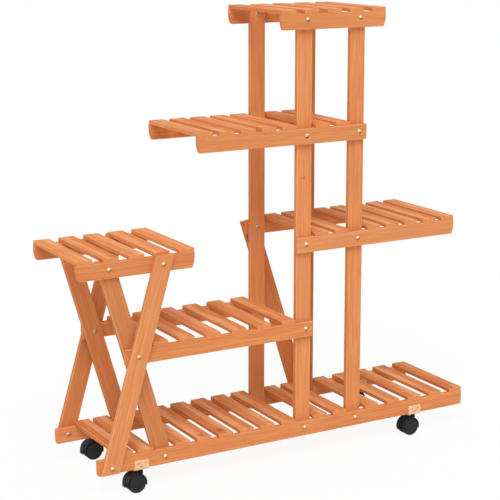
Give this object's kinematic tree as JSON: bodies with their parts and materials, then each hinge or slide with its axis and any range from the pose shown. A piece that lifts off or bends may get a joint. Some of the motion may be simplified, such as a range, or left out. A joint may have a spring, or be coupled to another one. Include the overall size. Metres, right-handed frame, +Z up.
{
  "type": "rolling plant stand",
  "caption": "Slatted wooden plant stand with shelves stepped round a post tower and crossed legs, rolling on swivel twin-wheel casters.",
  "frame": {"origin": "on the floor under the middle of the stand's bounding box", "axes": "+X along the stand towards the tower side, +Y from the front to the back, +Z up"},
  "size_m": [0.904, 0.2412, 0.9182],
  "materials": {
    "wood_stain": "orange brown stain, satin, fine grain",
    "plate_zinc": "yellow zinc plating, satin",
    "bolt_metal": "plated, polished",
    "screw_metal": "yellow zinc plating, satin",
    "nail_steel": "stained over with the wood",
    "pin_steel": "zinc plated",
    "hood_plastic": "black, fine matt",
    "wheel_plastic": "black, satin"
  },
  "bodies": {
    "stand": {"bottom_rail_front": "wood_stain", "middle_rail_front": "wood_stain", "side_rail_front": "wood_stain", "right_rail_front": "wood_stain", "upper_rail_front": "wood_stain", "top_rail_front": "wood_stain", "post_left_front": "wood_stain", "post_right_front": "wood_stain", "leg_outer_front": "wood_stain", "leg_inner_front": "wood_stain", "bottom_rail_back": "wood_stain", "middle_rail_back": "wood_stain", "side_rail_back": "wood_stain", "right_rail_back": "wood_stain", "upper_rail_back": "wood_stain", "top_rail_back": "wood_stain", "post_left_back": "wood_stain", "post_right_back": "wood_stain", "leg_outer_back": "wood_stain", "leg_inner_back": "wood_stain", "back_brace": "wood_stain", "bottom_slats": "wood_stain", "middle_slats": "wood_stain", "side_slats": "wood_stain", "right_slats": "wood_stain", "upper_slats": "wood_stain", "top_slats": "wood_stain", "caster_plate_front_left": "plate_zinc", "caster_kingpin_front_left": "pin_steel", "caster_plate_front_right": "plate_zinc", "caster_kingpin_front_right": "pin_steel", "caster_plate_back_left": "plate_zinc", "caster_kingpin_back_left": "pin_steel", "caster_plate_back_right": "plate_zinc", "caster_kingpin_back_right": "pin_steel", "frame_bolts": "bolt_metal", "frame_cap_nuts": "bolt_metal", "slat_nails": "nail_steel", "caster_screws": "screw_metal", "caster_grip_rings": "pin_steel"},
    "caster_front_left": {"caster_hood_front_left": "hood_plastic", "caster_axle_front_left": "pin_steel"},
    "wheel_outer_front_left": {"caster_wheel_outer_front_left": "wheel_plastic"},
    "wheel_inner_front_left": {"caster_wheel_inner_front_left": "wheel_plastic"},
    "caster_front_right": {"caster_hood_front_right": "hood_plastic", "caster_axle_front_right": "pin_steel"},
    "wheel_outer_front_right": {"caster_wheel_outer_front_right": "wheel_plastic"},
    "wheel_inner_front_right": {"caster_wheel_inner_front_right": "wheel_plastic"},
    "caster_back_left": {"caster_hood_back_left": "hood_plastic", "caster_axle_back_left": "pin_steel"},
    "wheel_outer_back_left": {"caster_wheel_outer_back_left": "wheel_plastic"},
    "wheel_inner_back_left": {"caster_wheel_inner_back_left": "wheel_plastic"},
    "caster_back_right": {"caster_hood_back_right": "hood_plastic", "caster_axle_back_right": "pin_steel"},
    "wheel_outer_back_right": {"caster_wheel_outer_back_right": "wheel_plastic"},
    "wheel_inner_back_right": {"caster_wheel_inner_back_right": "wheel_plastic"}
  },
  "joints": [
    {"name": "swivel_front_left", "type": "hinge", "parent": "stand", "child": "caster_front_left", "pos_m": [-0.325, -0.1025, 0.039], "axis": [0, 0, 1], "continuous": true},
    {"name": "spin_outer_front_left", "type": "hinge", "parent": "caster_front_left", "child": "wheel_outer_front_left", "pos_m": [-0.3375, -0.1025, 0.01875], "axis": [0, 1, 0], "continuous": true},
    {"name": "spin_inner_front_left", "type": "hinge", "parent": "caster_front_left", "child": "wheel_inner_front_left", "pos_m": [-0.3375, -0.1025, 0.01875], "axis": [0, 1, 0], "continuous": true},
    {"name": "swivel_front_right", "type": "hinge", "parent": "stand", "child": "caster_front_right", "pos_m": [0.325, -0.1025, 0.039], "axis": [0, 0, 1], "continuous": true},
    {"name": "spin_outer_front_right", "type": "hinge", "parent": "caster_front_right", "child": "wheel_outer_front_right", "pos_m": [0.3125, -0.1025, 0.01875], "axis": [0, 1, 0], "continuous": true},
    {"name": "spin_inner_front_right", "type": "hinge", "parent": "caster_front_right", "child": "wheel_inner_front_right", "pos_m": [0.3125, -0.1025, 0.01875], "axis": [0, 1, 0], "continuous": true},
    {"name": "swivel_back_left", "type": "hinge", "parent": "stand", "child": "caster_back_left", "pos_m": [-0.325, 0.1025, 0.039], "axis": [0, 0, 1], "continuous": true},
    {"name": "spin_outer_back_left", "type": "hinge", "parent": "caster_back_left", "child": "wheel_outer_back_left", "pos_m": [-0.3375, 0.1025, 0.01875], "axis": [0, 1, 0], "continuous": true},
    {"name": "spin_inner_back_left", "type": "hinge", "parent": "caster_back_left", "child": "wheel_inner_back_left", "pos_m": [-0.3375, 0.1025, 0.01875], "axis": [0, 1, 0], "continuous": true},
    {"name": "swivel_back_right", "type": "hinge", "parent": "stand", "child": "caster_back_right", "pos_m": [0.325, 0.1025, 0.039], "axis": [0, 0, 1], "continuous": true},
    {"name": "spin_outer_back_right", "type": "hinge", "parent": "caster_back_right", "child": "wheel_outer_back_right", "pos_m": [0.3125, 0.1025, 0.01875], "axis": [0, 1, 0], "continuous": true},
    {"name": "spin_inner_back_right", "type": "hinge", "parent": "caster_back_right", "child": "wheel_inner_back_right", "pos_m": [0.3125, 0.1025, 0.01875], "axis": [0, 1, 0], "continuous": true}
  ]
}
